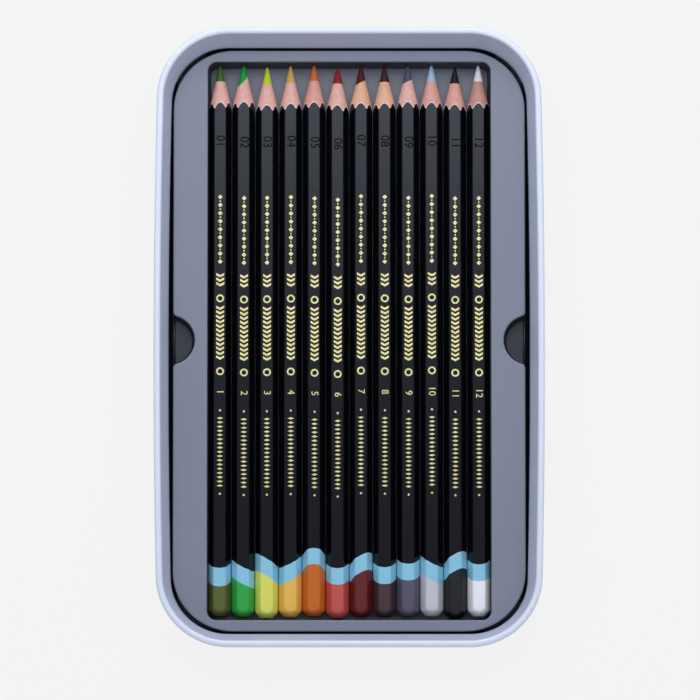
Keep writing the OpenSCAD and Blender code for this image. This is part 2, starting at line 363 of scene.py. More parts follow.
# %% The tin's section
tin_low, tin_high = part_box("tin_wall")
SIDE_BOW = 0.86 * MM
TIN_CORNER_R = 23 * MM
PLATE = 0.3 * MM
CURL_R = 1.1 * MM
CURL_RISE = 0.62 * MM
CURL_SQUARE = 0.75
FLARE_ANGLE = 22
FLARE_H = 7.2 * MM
FLARE_REACH = 1.6 * MM
WALL_DRAFT = 2
FOOT_R = 2 * MM
FLOOR_STRIP = 3 * MM


def rolled_edge(start, end, steps):
    """The roll round the mouth: an oval with squared shoulders."""
    across = CURL_R - PLATE / 2
    centre = Vector((-CURL_R, tin_high.z - PLATE / 2 - CURL_RISE))

    def squared(part):
        return math.copysign(abs(part) ** CURL_SQUARE, part)
    turns = arc((0, 0), 1, start, end, steps)
    return [centre + Vector((across * squared(p.x), CURL_RISE * squared(p.y))) for p in turns]


def tin_section():
    """Points (outwards from the rim's edge, upwards), from the floor to the curl's end."""
    lean, draft = math.radians(FLARE_ANGLE), math.radians(WALL_DRAFT)
    curl = rolled_edge(180 - FLARE_ANGLE, -90, 30)
    knee = curl[0] - FLARE_H * Vector((math.tan(lean), 1))
    bend_top = PLATE / 2 + FOOT_R * (1 - math.sin(draft))
    bend_x = knee.x - (knee.y - bend_top) * math.tan(draft) - FOOT_R * math.cos(draft)
    line = [Vector((bend_x - FLOOR_STRIP, PLATE / 2))]
    line += arc((bend_x, PLATE / 2 + FOOT_R), FOOT_R, -90, -WALL_DRAFT, 8)
    line += soft_corner(line[-1], knee, FLARE_ANGLE, FLARE_REACH)
    return sheet_faces(line + curl, PLATE)


tin_line = tin_section()
print("tin section:", len(tin_line), "points")


# %% [markdown]
# A Geometry Nodes tree is a small machine with named inputs. Three helpers cover what
# every tree below starts with: a tree with its inputs, the place of each point split
# into its parts, and a short way to move points.

# %% Helpers for geometry trees
FLOAT, MATERIAL = "NodeSocketFloat", "NodeSocketMaterial"


def geometry_tree(name, inputs):
    """A new tree with named inputs (name, socket type, first value) and its two ends."""
    tree = bpy.data.node_groups.new(name, "GeometryNodeTree")
    tree.interface.new_socket("Geometry", in_out="OUTPUT", socket_type="NodeSocketGeometry")
    tree.interface.new_socket("Geometry", in_out="INPUT", socket_type="NodeSocketGeometry")
    for socket_name, kind, value in inputs:
        socket = tree.interface.new_socket(socket_name, in_out="INPUT", socket_type=kind)
        if value is not None:
            socket.default_value = value
    return tree, add(tree, "NodeGroupInput").outputs, add(tree, "NodeGroupOutput")


def point_place(tree):
    """The X, Y and Z of each point, as sockets."""
    place = add(tree, "GeometryNodeInputPosition").outputs[0]
    return add(tree, "ShaderNodeSeparateXYZ", {0: place}).outputs


def shifted(tree, shape, moves):
    """Moves points by sockets given for axis 0, 1 or 2."""
    offset = add(tree, "ShaderNodeCombineXYZ", moves).outputs[0]
    return add(tree, "GeometryNodeSetPosition", {"Geometry": shape, "Offset": offset}).outputs[0]


# %% [markdown]
# A press stretches long straight sides until they bow a little, and four corners join
# them. A rectangle primitive has straight sides, so its points are pushed outwards by
# a parabola and the section is swept round that. Below the rim the sheet is also
# drawn out at the sides and in at the ends, so the swept points are eased by a share
# that grows from the roll down to the knee.

# %% A tree that sweeps a section round a bowed outline
OUTLINE_STEP = 1.4 * MM
CORNER_POINTS = 40


def bowed_outline(tree, given):
    """A rounded rectangle whose long sides bow outwards."""
    size = {"Width": given["Width"], "Height": given["Length"]}
    box = add(tree, "GeometryNodeCurvePrimitiveQuadrilateral", size)
    rounding = {"Curve": box.outputs[0], "Count": CORNER_POINTS, "Radius": given["Corner radius"]}
    rounded = add(tree, "GeometryNodeFilletCurve", rounding, mode="POLY")
    spacing = {"Curve": rounded.outputs[0], "Length": OUTLINE_STEP}
    fine = add(tree, "GeometryNodeResampleCurve", spacing, mode="LENGTH")
    place = point_place(tree)
    half_length = calc(tree, "MULTIPLY", given["Length"], 0.5)
    half_side = calc(tree, "SUBTRACT", half_length, given["Corner radius"])
    off_middle = calc(tree, "POWER", calc(tree, "DIVIDE", place["Y"], half_side), 2.0)
    swell = calc(tree, "MAXIMUM", calc(tree, "SUBTRACT", 1.0, off_middle), 0.0)
    outward = calc(tree, "MULTIPLY", calc(tree, "SIGN", place["X"]), given["Side bow"])
    return shifted(tree, fine.outputs[0], {0: calc(tree, "MULTIPLY", swell, outward)})


def eased_wall(tree, given, swept):
    """Spreads the sides and draws in the ends, more and more from the roll to the knee."""
    place = point_place(tree)
    heights = {"Value": place["Z"], "From Min": given["Eases from"], "From Max": given["Eases to"]}
    share = add(tree, "ShaderNodeMapRange", heights, interpolation_type="SMOOTHSTEP").outputs[0]
    side = calc(tree, "MULTIPLY", share, given["Side spread"])
    end = calc(tree, "MULTIPLY", share, given["End draw"])
    return shifted(tree, swept, {
        0: calc(tree, "MULTIPLY", side, place["X"]), 1: calc(tree, "MULTIPLY", end, place["Y"]),
    })


def swept_section_tree():
    tree, given, end = geometry_tree("swept_section", [
        ("Width", FLOAT, 0.1), ("Length", FLOAT, 0.2), ("Corner radius", FLOAT, 0.02),
        ("Side bow", FLOAT, 0.0), ("Eases from", FLOAT, 0.015), ("Eases to", FLOAT, 0.008),
        ("Side spread", FLOAT, 0.0), ("End draw", FLOAT, 0.0), ("Material", MATERIAL, None),
    ])
    outline = bowed_outline(tree, given)
    rail = add(tree, "GeometryNodeSetCurveNormal", {"Curve": outline}, mode="Z_UP")
    section = add(tree, "GeometryNodeMeshToCurve", {0: given["Geometry"]})
    sweep = {"Curve": rail.outputs[0], "Profile Curve": section.outputs[0]}
    swept = add(tree, "GeometryNodeCurveToMesh", sweep).outputs[0]
    real = add(tree, "GeometryNodeRealizeInstances", {0: eased_wall(tree, given, swept)})
    coat = {"Geometry": real.outputs[0], "Material": given["Material"]}
    tree.links.new(add(tree, "GeometryNodeSetMaterial", coat).outputs[0], end.inputs[0])
    print(tree.name, len(tree.nodes), "nodes")
    return tree


sweep_tree = swept_section_tree()


# %% [markdown]
# A tree can stay live on an object, but other programs and the joints want a plain
# mesh. So each tree is run once: its inputs are set, the result is kept, and the
# modifier goes. Mending welds the seams where a sweep meets itself, closes the hole
# that a sweep leaves in the middle, and shades the surface smooth.

# %% Run a tree and keep its result as a plain mesh
def grow(name, tree, values, base=None):
    """Runs a geometry tree on a base mesh and returns the result as a plain object."""
    seed = bpy.data.objects.new(name + "_seed", base or bpy.data.meshes.new(name + "_seed"))
    bpy.context.scene.collection.objects.link(seed)
    modifier = seed.modifiers.new("tree", "NODES")
    modifier.node_group = tree
    sockets = {s.name: s.identifier for s in tree.interface.items_tree if s.in_out == "INPUT"}
    for key, value in values.items():
        modifier[sockets[key]] = value
    seen_now = bpy.context.evaluated_depsgraph_get()
    mesh = bpy.data.meshes.new_from_object(seed.evaluated_get(seen_now), depsgraph=seen_now)
    mesh.name = name
    bpy.data.objects.remove(seed)
    made = bpy.data.objects.new(name, mesh)
    bpy.context.scene.collection.objects.link(made)
    return made


def mend(piece, fill_holes=False, sharp_between_materials=False):
    """Closes what a tree left open and marks the edges that should catch the light."""
    shape = bmesh.new()
    shape.from_mesh(piece.data)
    bmesh.ops.remove_doubles(shape, verts=shape.verts, dist=1e-6)
    if fill_holes:
        rim = [e for e in shape.edges if e.is_boundary]
        bmesh.ops.holes_fill(shape, edges=rim, sides=0)
    for face in shape.faces:
        face.smooth = True
    for edge in shape.edges:
        if sharp_between_materials and len({f.material_index for f in edge.link_faces}) > 1:
            edge.smooth = False
    shape.to_mesh(piece.data)
    shape.free()
    print(piece.name, len(piece.data.polygons), "faces")


# %% [markdown]
# One blank of steel becomes wall, floor and rim in a few strokes of the press, and a
# last tool curls the raw edge outwards so that no finger meets it. The sweep does the
# same in one go, and the hole that it leaves in the middle is closed by a flat floor.
# The frame has a wall and a floor because solids need simple hulls; the real tin has
# no seam there, so this one shell stands for both.

# %% The pressed tin
SIDE_SPREAD = 0.43 * MM
END_DRAW = 0.32 * MM


def line_mesh(name, points):
    """Points of a section as a line of edges; a swept section hangs upside down."""
    mesh = bpy.data.meshes.new(name)
    spots = [(p.x, -p.y, 0) for p in points]
    mesh.from_pydata(spots, [(i, i + 1) for i in range(len(spots) - 1)], [])
    return mesh


tin = grow("tin_shell", sweep_tree, {
    "Width": tin_high.x - tin_low.x - 2 * SIDE_BOW,
    "Length": tin_high.y - tin_low.y,
    "Corner radius": TIN_CORNER_R,
    "Side bow": SIDE_BOW,
    "Eases from": tin_high.z - CURL_R,
    "Eases to": tin_high.z - CURL_R - FLARE_H,
    "Side spread": SIDE_SPREAD / tin_high.x,
    "End draw": -END_DRAW / tin_high.y,
    "Material": LACQUERED,
}, line_mesh("tin_section", tin_line))
mend(tin, fill_holes=True)


# %% [markdown]
# The inside is painted after the shape is known, face by face: what lies below the
# tray's deck and looks inwards or up has no lacquer. The floor under the tray is bare
# plate, and the wall and floor in the narrow gap round the tray are dark plate, as painted
# shade. The same could be done with a second sweep, but then the two would need a seam.

# %% The tin's bare inside and the painted shade in its gap
LEVEL_ENOUGH = 0.9
PAINTED_SHADE, BARE = 1, 2


def bare_and_shaded_inside(piece, top, floor):
    """Dark plate as painted shade in the gap below top, and bare plate on the floor under the tray."""
    piece.data.materials.append(PAINTED_SHADE_PLATE)
    piece.data.materials.append(BARE_PLATE)
    for face in piece.data.polygons:
        outwards = face.normal.x * face.center.x + face.normal.y * face.center.y
        if face.center.z < top and (outwards < 0 or face.normal.z > LEVEL_ENOUGH):
            # Faces in the gap round the tray get painted shade; the floor under the tray is bare plate.
            on_floor = abs(face.center.x) < floor.x and abs(face.center.y) < floor.y
            face.material_index = BARE if on_floor else PAINTED_SHADE
    inside = sum(face.material_index > 0 for face in piece.data.polygons)
    print(inside, "faces without lacquer")


bare_and_shaded_inside(tin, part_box("insert_tray")[1].z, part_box("tin_floor")[1])
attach(tin, "tin")
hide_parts("tin_wall", "tin_floor")


# %% [markdown]
# The tray lies just inside the tin, and its well is as wide as the row of pencils. So
# the sizes that matter to fit come from the frame's boxes, and only radii, draft and
# clearances are typed in. Draft, a lean of a degree or two, lets a moulding leave its
# mould.

# %% Sizes of the tray
tray_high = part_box("insert_tray")[1]
DECK_Z = tray_high.z
FLOOR_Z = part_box("pencil_01_barrel")[0].z
TRAY_X, TRAY_Y = tray_high.x, tray_high.y
TRAY_CORNER_R = 19 * MM
SHEET = 0.5 * MM
EDGE_R = 0.5 * MM
LIP_H = 2.5 * MM
LEVEL_STRIP = 0.3 * MM
NOTCH_R = 7.9 * MM
NOTCH_OUT = 1.1 * MM
NOTCH_EASE_R = 1.4 * MM
NOTCH_DEPTH = 3.9 * MM
NOTCH_FOOT_R = 0.8 * MM
NOTCH_LIP_R = 0.4 * MM
NOTCH_LIP_H = 1.2 * MM
WELL_EDGE_R = 0.35 * MM
WELL_CORNER_R = 3 * MM
WELL_FOOT_R = 0.9 * MM
WELL_DRAFT = math.radians(1.5)
ROW_GAP = 0.2 * MM
TIP_GAP = 0.4 * MM
BUTT_GAP = 1.5 * MM

first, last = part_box("pencil_01_barrel"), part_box("pencil_12_barrel")
axis_z = (first[0].z + first[1].z) / 2
well_lean = (DECK_Z - axis_z) * math.tan(WELL_DRAFT)
WELL_X = last[1].x + ROW_GAP + well_lean
pencil_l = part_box("pencil_01_core")[1].y - first[0].y
WELL_Y = (pencil_l + TIP_GAP + BUTT_GAP) / 2 + well_lean
print("well, mm:", round(WELL_X * 2 / MM, 1), "by", round(WELL_Y * 2 / MM, 1))


# %% [markdown]
# Thin grey sheet is warmed and sucked down over a mould, and it thins where it is drawn
# down the sides of the well. The sides lie in shade, so they are painted a darker grey,
# as painted shade, that fades out at the deck and at the floor. The fade goes by height.

# %% Grey moulded plastic
LEVEL_GREYS = colour(125, 129, 144), colour(132, 136, 151)
PAINTED_SHADE_GREY = colour(38, 40, 50)
GRAIN_DEPTH = 0.006 * MM
WAVE_DEPTH = 0.05 * MM


def tray_plastic():
    material, tree, shader = finish_for("grey_tray_plastic", Roughness=0.42)
    place = object_place(tree)
    cloud = noise(tree, place, 28, 3)
    grain = noise(tree, place, 5200, 2)
    level = blend_colours(tree, cloud, *LEVEL_GREYS)
    height = add(tree, "ShaderNodeSeparateXYZ", {0: place}).outputs["Z"]
    off_floor = spread(tree, height, FLOOR_Z + 0.15 * MM, FLOOR_Z + 0.8 * MM)
    below_deck = spread(tree, height, DECK_Z - 0.3 * MM, DECK_Z - 1.0 * MM)
    # Painted shade on the sides between the floor and the deck.
    shaded_sides = calc(tree, "MULTIPLY", off_floor, below_deck)
    tree.links.new(blend_colours(tree, shaded_sides, level, PAINTED_SHADE_GREY), shader.inputs["Base Color"])
    tree.links.new(spread(tree, cloud, 0.3, 0.7, 0.38, 0.46), shader.inputs["Roughness"])
    waves = bump(tree, shader, noise(tree, place, 45, 1), WAVE_DEPTH, 0.5)
    bump(tree, shader, grain, GRAIN_DEPTH, 0.5, under=waves)
    return material


TRAY_PLASTIC = tray_plastic()
print("finish:", TRAY_PLASTIC.name)


# %% [markdown]
# Two outlines shape the tray: the one that follows the tin, with a bite at each side
# for a fingertip, and the rounded rectangle of the well. Curves could be offset by a
# modifier, but that loses count of the points. Here every loop of an outline has the
# same number of points, so that the faces between two loops are a simple strip.

# %% Outlines of the tray and of its well
def straight(start, end, steps):
    """Points from start up to, but without, end."""
    a, b = Vector(start), Vector(end)
    return [a.lerp(b, i / steps) for i in range(steps)]


def whole_turn(half):
    """Half an outline, and the same half turned round the middle."""
    return half + [-p for p in half]


def notch_joint():
    """Centre of the small round that eases the notch into the edge, and its turn."""
    ease_x = TRAY_X - NOTCH_EASE_R
    across = NOTCH_EASE_R + NOTCH_OUT
    ease_y = math.sqrt((NOTCH_R + NOTCH_EASE_R) ** 2 - across ** 2)
    return ease_x, ease_y, math.degrees(math.atan2(ease_y, across))


def tray_outline(inset):
    """The tray's edge, moved in by inset, with a finger notch in each long side."""
    x, y = TRAY_X - inset, TRAY_Y - inset
    cx, cy = TRAY_X - TRAY_CORNER_R, TRAY_Y - TRAY_CORNER_R
    r, ease = TRAY_CORNER_R - inset, NOTCH_EASE_R - inset
    ease_x, ease_y, turn = notch_joint()
    half = straight((-cx, -y), (cx, -y), 12)
    half += arc((cx, -cy), r, -90, 0, 20)[:-1]
    half += straight((x, -cy), (x, -ease_y), 12)
    half += arc((ease_x, -ease_y), ease, 0, turn, 6)[:-1]
    half += arc((TRAY_X + NOTCH_OUT, 0), NOTCH_R + inset, 180 + turn, 180 - turn, 36)[:-1]
    half += arc((ease_x, ease_y), ease, -turn, 0, 6)[:-1]
    half += straight((x, ease_y), (x, cy), 12)
    half += arc((cx, cy), r, 0, 90, 20)[:-1]
    return whole_turn(half)


def well_outline(outset):
    """The well's edge, moved out by outset."""
    x, y, r = WELL_X + outset, WELL_Y + outset, WELL_CORNER_R + outset
    cx, cy = WELL_X - WELL_CORNER_R, WELL_Y - WELL_CORNER_R
    half = straight((-cx, -y), (cx, -y), 12)
    half += arc((cx, -cy), r, -90, 0, 10)[:-1]
    half += straight((x, -cy), (x, cy), 24)
    half += arc((cx, cy), r, 0, 90, 10)[:-1]
    return whole_turn(half)


print("tray outline:", len(tray_outline(0)), "points, well:", len(well_outline(0)))


# %% [markdown]
# Everything on the tray is one skin, so it is modelled as one skin: loops of points
# run round its edge and its well, each loop a little further in or down, and faces
# join loop to loop. A box with cuts would be quicker to make, but its edges would be
# as sharp as sawn wood, while a moulding has a soft radius everywhere.

# %% Loops, strips and flat ground
def add_loop(shape, outline, z):
    return [shape.verts.new((p.x, p.y, z)) for p in outline]


def join_loops(shape, outer, inner):
    """Faces between two loops with as many points, the outer one first."""
    for i in range(len(outer)):
        after = (i + 1) % len(outer)
        shape.faces.new((outer[i], outer[after], inner[after], inner[i]))


def fill_flat(shape, *loops):
    """Fills the flat ground between loops that lie in one level."""
    edges = []
    for loop in loops:
        ends = zip(loop, loop[1:] + loop[:1])
        edges += [shape.edges.get(pair) or shape.edges.new(pair) for pair in ends]
    bmesh.ops.triangle_fill(shape, use_beauty=True, edges=edges, normal=(0, 0, 1))


def quarter_round(radius, steps):
    """(how far in, how far down) along a quarter round that starts level."""
    turns = [math.pi / 2 * i / steps for i in range(steps + 1)]
    return [(radius * (1 - math.sin(t)), radius * (1 - math.cos(t))) for t in turns]


# %% [markdown]
# The deck has two borders. At the outer one the sheet turns down over a small round
# into a hanging lip, which makes a floppy sheet stiff. At the inner one it turns down
# into the well, runs down a drafted wall and bends out level again at the floor.

# %% The tray's edge and its well
def edge_loops(shape):
    """From the deck, round the outer edge and down to the end of the lip."""
    loops = [add_loop(shape, tray_outline(EDGE_R + LEVEL_STRIP), DECK_Z)]
    for inset, drop in quarter_round(EDGE_R, 6):
        loops.append(add_loop(shape, tray_outline(inset), DECK_Z - drop))
    loops.append(add_loop(shape, tray_outline(0), DECK_Z - LIP_H))
    for inner, outer in zip(loops, loops[1:]):
        join_loops(shape, outer, inner)
    return loops[0]


def well_loops(shape):
    """From the deck, round the well's edge, down its wall and round its foot."""
    lean = math.tan(WELL_DRAFT)
    loops = [add_loop(shape, well_outline(WELL_EDGE_R + LEVEL_STRIP), DECK_Z)]
    for outset, drop in quarter_round(WELL_EDGE_R, 5):
        loops.append(add_loop(shape, well_outline(outset - drop * lean), DECK_Z - drop))
    wall_in = (DECK_Z - FLOOR_Z - WELL_FOOT_R) * lean
    for inset, rise in reversed(quarter_round(WELL_FOOT_R, 5)):
        step_in = wall_in + WELL_FOOT_R - inset
        loops.append(add_loop(shape, well_outline(-step_in), FLOOR_Z + rise))
    loops.append(add_loop(shape, well_outline(-wall_in - WELL_FOOT_R - LEVEL_STRIP), FLOOR_Z))
    for outer, inner in zip(loops, loops[1:]):
        join_loops(shape, outer, inner)
    return loops[0], loops[-1]


# %% [markdown]
# Under each bite in the deck lies a shallow pocket, so that a fingertip finds an edge
# to lift by. Its wall follows the same curve as the bite, bends at its foot into a
# small floor, and the floor's open side turns down like the rest of the edge.

# %% The pockets under the finger notches
def pocket_line(foot, set_back):
    """The notch's curve moved in by foot, from end to end of the open side."""
    ease_x, ease_y, turn = notch_joint()
    round_r = NOTCH_EASE_R + foot
    start = math.degrees(math.acos((NOTCH_EASE_R - set_back) / round_r))
    line = arc((ease_x, -ease_y), round_r, start, turn, 6)[:-1]
    line += arc((TRAY_X + NOTCH_OUT, 0), NOTCH_R - foot, 180 + turn, 180 - turn, 36)[:-1]
    return line + arc((ease_x, ease_y), round_r, -turn, -start, 6)


def notch_pocket(shape, side):
    """The recess under a finger notch: its wall, its foot, its floor and its own lip."""
    floor_z = DECK_Z - NOTCH_DEPTH
    steps = [(0, 0, DECK_Z - LIP_H)]
    for inset, rise in reversed(quarter_round(NOTCH_FOOT_R, 5)):
        foot = NOTCH_FOOT_R - inset
        steps.append((foot, NOTCH_LIP_R * foot / NOTCH_FOOT_R, floor_z + rise))
    steps.append((NOTCH_FOOT_R + LEVEL_STRIP, NOTCH_LIP_R + LEVEL_STRIP, floor_z))
    rows = []
    for foot, set_back, z in steps:
        rows.append(add_loop(shape, [p * side for p in pocket_line(foot, set_back)], z))
    for upper, lower in zip(rows, rows[1:]):
        for i in range(len(upper) - 1):
            shape.faces.new((upper[i], upper[i + 1], lower[i + 1], lower[i]))
    outer, inner = rows[-2], rows[-1]
    shape.faces.new((outer[-1], outer[0], inner[0], inner[-1]))
    fill_flat(shape, inner)
    pocket_lip(shape, outer[0], outer[-1], side)


def pocket_lip(shape, low, high, side):
    """The floor's outer edge turns down as the rest of the tray's edge does."""
    drops = quarter_round(NOTCH_LIP_R, 4)[1:] + [(0, NOTCH_LIP_H)]
    lines = [[low, high]]
    for inset, drop in drops:
        x = side * (TRAY_X - inset)
        lines.append([shape.verts.new((x, end.co.y, low.co.z - drop)) for end in (low, high)])
    for inner, outer in zip(lines, lines[1:]):
        shape.faces.new((inner[0], outer[0], outer[1], inner[1]))


# %% [markdown]
# The parts of the skin share their border points, so welding makes them one. The
# strips were laid in different directions, so the faces are turned to one side before
# the skin gets its thickness, and that side has to be up: the biggest face tells.

# %% The tray's skin
def tray_skin():
    shape = bmesh.new()
    deck_edge = edge_loops(shape)
    deck_hole, floor_edge = well_loops(shape)
    fill_flat(shape, deck_edge, deck_hole)
    fill_flat(shape, floor_edge)
    for side in (1, -1):
        notch_pocket(shape, side)
    bmesh.ops.remove_doubles(shape, verts=shape.verts, dist=1e-7)
    bmesh.ops.recalc_face_normals(shape, faces=shape.faces)
    if max(shape.faces, key=lambda face: face.calc_area()).normal.z < 0:
        bmesh.ops.reverse_faces(shape, faces=shape.faces)
    for face in shape.faces:
        face.smooth = True
    mesh = bpy.data.meshes.new("tray_skin")
    shape.to_mesh(mesh)
    shape.free()
    mesh.materials.append(TRAY_PLASTIC)
    return mesh


tray = bpy.data.objects.new("moulded_tray", tray_skin())
bpy.context.scene.collection.objects.link(tray)
print(tray.name, len(tray.data.polygons), "faces before its thickness")


# %% [markdown]
# Moulded sheet is about half a millimetre thick. Every loop could be drawn twice, but
# a Solidify modifier does that by itself. It thickens away from the eye, which keeps
# the visible face exactly where the loops put it.

# %% Thickness of the tray
def thicken(piece, thickness):
    """Gives a skin its thickness, on the side away from the eye."""
    modifier = piece.modifiers.new("thickness", "SOLIDIFY")
    modifier.thickness = thickness
    modifier.offset = -1
    seen_now = bpy.context.evaluated_depsgraph_get()
    mesh = bpy.data.meshes.new_from_object(piece.evaluated_get(seen_now), depsgraph=seen_now)
    piece.modifiers.clear()
    piece.data = mesh


thicken(tray, SHEET)
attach(tray, "tray")
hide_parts("insert_tray")
print(tray.name, len(tray.data.polygons), "faces with its thickness")


# %% [markdown]
# A pencil is wood round a coloured core, planed to six flats, lacquered, dipped at
# its end and sharpened. All twelve are the same but for a few colours and the way
# the dip ran, so one Geometry Nodes tree makes them all. Cutting a hexagon with a cone
# is what makes the scallops, and here that comes out of the same formula as the real
# one: the lacquer ends where the cone is wider than the hexagon.

# %% Sizes of a pencil
FLATS = 6.4 * MM
EDGE_ROUND = 0.65 * MM
CORE_D = 3.2 * MM
POINT_ANGLE = math.radians(13)
END_ROUND = 1.95 * MM
END_ROUND_L = 2.9 * MM
END_ROUND_POWER = 2.0
END_BLEND = 0.4 * MM
COAT = 0.04 * MM
PRIMER_L = 0.35 * MM
DOME_R = FLATS * 0.565 + COAT
print("over the lacquered flats, mm:", round(FLATS / MM, 2))
print("over the dipped flats, mm:", round((FLATS + 2 * COAT) / MM, 2))


# %% [markdown]
# Every part of the pencil's skin is a grid whose one side runs round the pencil and
# whose other runs along it. So each point has two numbers: its turn, from 0 to a full
# turn, and its share of the way along. Points crowd a little towards the six rounded
# edges, where the surface bends, and the flats stay flat with few faces.

# %% Round a pencil and along it
AROUND = 97
CROWDING = 0.1
SIXTH = math.pi / 3


def grid(tree, rows):
    """A flat grid, with the turn and the share along of each of its points."""
    made = add(tree, "GeometryNodeMeshGrid", {
        "Size X": 1.0, "Size Y": 1.0, "Vertices X": AROUND, "Vertices Y": rows,
    })
    place = point_place(tree)
    even = calc(tree, "MULTIPLY", calc(tree, "ADD", place["X"], 0.5), math.tau)
    crowd = calc(tree, "SINE", calc(tree, "MULTIPLY", even, 6.0))
    turn = calc(tree, "MULTIPLY_ADD", crowd, CROWDING, even)
    return made.outputs["Mesh"], turn, calc(tree, "ADD", place["Y"], 0.5)


def hexagon(tree, turn, coat=0.0):
    """Distance from the axis to the planed surface, whose six edges are rounded."""
    from_corner = calc(tree, "MODULO", calc(tree, "ADD", turn, SIXTH / 2), SIXTH)
    off_flat = calc(tree, "ABSOLUTE", calc(tree, "SUBTRACT", from_corner, SIXTH / 2))
    off_edge = calc(tree, "SUBTRACT", SIXTH / 2, off_flat)
    flat = calc(tree, "DIVIDE", FLATS / 2, calc(tree, "COSINE", off_flat))
    centre = (FLATS / 2 - EDGE_ROUND) / math.cos(SIXTH / 2)
    aside = calc(tree, "MULTIPLY", calc(tree, "SINE", off_edge), centre)
    left = calc(tree, "SUBTRACT", EDGE_ROUND ** 2, calc(tree, "POWER", aside, 2.0))
    edge = calc(tree, "MULTIPLY_ADD", calc(tree, "COSINE", off_edge), centre, calc(tree, "SQRT", left))
    flat_end = math.atan((1 - 2 * EDGE_ROUND / FLATS) * math.tan(SIXTH / 2))
    at_edge = calc(tree, "GREATER_THAN", off_flat, flat_end)
    planed = calc(tree, "MULTIPLY_ADD", calc(tree, "SUBTRACT", edge, flat), at_edge, flat)
    return calc(tree, "ADD", planed, coat)


def wave(tree, turn, size, phase):
    """A swing of this size, once round the pencil."""
    return calc(tree, "MULTIPLY", size, calc(tree, "COSINE", calc(tree, "SUBTRACT", turn, phase)))


def along(tree, share, low, high):
    return calc(tree, "MULTIPLY_ADD", share, calc(tree, "SUBTRACT", high, low), low)


# %% [markdown]
# The zones of a pencil meet at edges that aren't straight: the band swings because the
# end was dipped a little askew, and the lacquer ends in scallops. Two zones that share
# an edge both ask the same function for it, so there is never a gap between them.

# %% Edges between the zones
def down_the_cone(tree, given, radius):
    """How far along the pencil its sharpened cone has this radius."""
    over_ball = 1 / math.sin(POINT_ANGLE) - 1
    apex = calc(tree, "MULTIPLY_ADD", given["Point radius"], over_ball, given["Length"])
    return calc(tree, "SUBTRACT", apex, calc(tree, "DIVIDE", radius, math.tan(POINT_ANGLE)))


def scallop(tree, given, turn, below=0.0):
    """Where the sharpener's cone leaves the hexagon, a little askew as by hand."""
    askew = wave(tree, turn, given["Cut tilt"], given["Cut turn"])
    level = down_the_cone(tree, given, hexagon(tree, turn))
    return calc(tree, "SUBTRACT", calc(tree, "ADD", level, askew), below)


def band_edge(tree, given, turn, below):
    level = calc(tree, "SUBTRACT", given["Band top"], below)
    return calc(tree, "ADD", level, wave(tree, turn, given["Wave"], given["Wave turn"]))


def core_ring(tree, given, turn):
    """The line where the wood gives way to the core, slanted where a cut was uneven."""
    return calc(tree, "ADD", CORE_D / 2, wave(tree, turn, given["Core slant"], given["Core turn"]))


def dipped_end(tree, turn, share):
    """The hexagon inside the dome that sanding leaves at the dipped end."""
    left = calc(tree, "SUBTRACT", 1.0, share)
    dome = calc(tree, "MULTIPLY_ADD", calc(tree, "POWER", left, END_ROUND_POWER), -END_ROUND, DOME_R)
    blend = calc(tree, "MULTIPLY", left, END_BLEND)
    return calc(tree, "SMOOTH_MIN", hexagon(tree, turn, COAT), dome, blend)


# %% [markdown]
# A zone is then one grid, wrapped round the pencil by a radius and a place along it,
# and painted with one material. The zones that were dipped or lacquered come first.
# The dip and the band lie over the lacquer, so they stand a coat's thickness proud.

# %% Zones that are painted
def zone(tree, given, mesh, turn, y, radius, finish):
    """Wraps a grid round the pencil and paints it."""
    x = calc(tree, "MULTIPLY_ADD", radius, calc(tree, "SINE", turn), given["Centre X"])
    z = calc(tree, "MULTIPLY_ADD", radius, calc(tree, "COSINE", turn), given["Axis Z"])
    spot = {0: x, 1: calc(tree, "ADD", y, given["Butt Y"]), 2: z}
    place = add(tree, "ShaderNodeCombineXYZ", spot).outputs[0]
    moved = add(tree, "GeometryNodeSetPosition", {"Geometry": mesh, "Position": place})
    paint = {"Geometry": moved.outputs[0], "Material": given[finish]}
    return add(tree, "GeometryNodeSetMaterial", paint).outputs[0]


def painted_zones(tree, given):
    mesh, turn, share = grid(tree, 6)
    radius = calc(tree, "MULTIPLY", dipped_end(tree, turn, 0.0), share)
    cap = zone(tree, given, mesh, turn, 0.0, radius, "Dip")

    mesh, turn, share = grid(tree, 20)
    y = calc(tree, "MULTIPLY", share, END_ROUND_L)
    dome = zone(tree, given, mesh, turn, y, dipped_end(tree, turn, share), "Dip")

    mesh, turn, share = grid(tree, 8)
    y = along(tree, share, END_ROUND_L, band_edge(tree, given, turn, given["Band height"]))
    dip = zone(tree, given, mesh, turn, y, hexagon(tree, turn, COAT), "Dip")

    mesh, turn, share = grid(tree, 8)
    low_edge = band_edge(tree, given, turn, given["Band height"])
    y = along(tree, share, low_edge, band_edge(tree, given, turn, 0.0))
    coat = calc(tree, "MULTIPLY", COAT, calc(tree, "LESS_THAN", share, 0.99))
    band = zone(tree, given, mesh, turn, y, hexagon(tree, turn, coat), "Band")

    mesh, turn, share = grid(tree, 40)
    y = along(tree, share, band_edge(tree, given, turn, 0.0), scallop(tree, given, turn, PRIMER_L))
    lacquered = zone(tree, given, mesh, turn, y, hexagon(tree, turn), "Lacquer")
    return [cap, dome, dip, band, lacquered]


# %% [markdown]
# The sharpener lays bare a thin pale line of primer, then the wood, then the core. The
# core ends in a small ball, because a real point is never a needle.

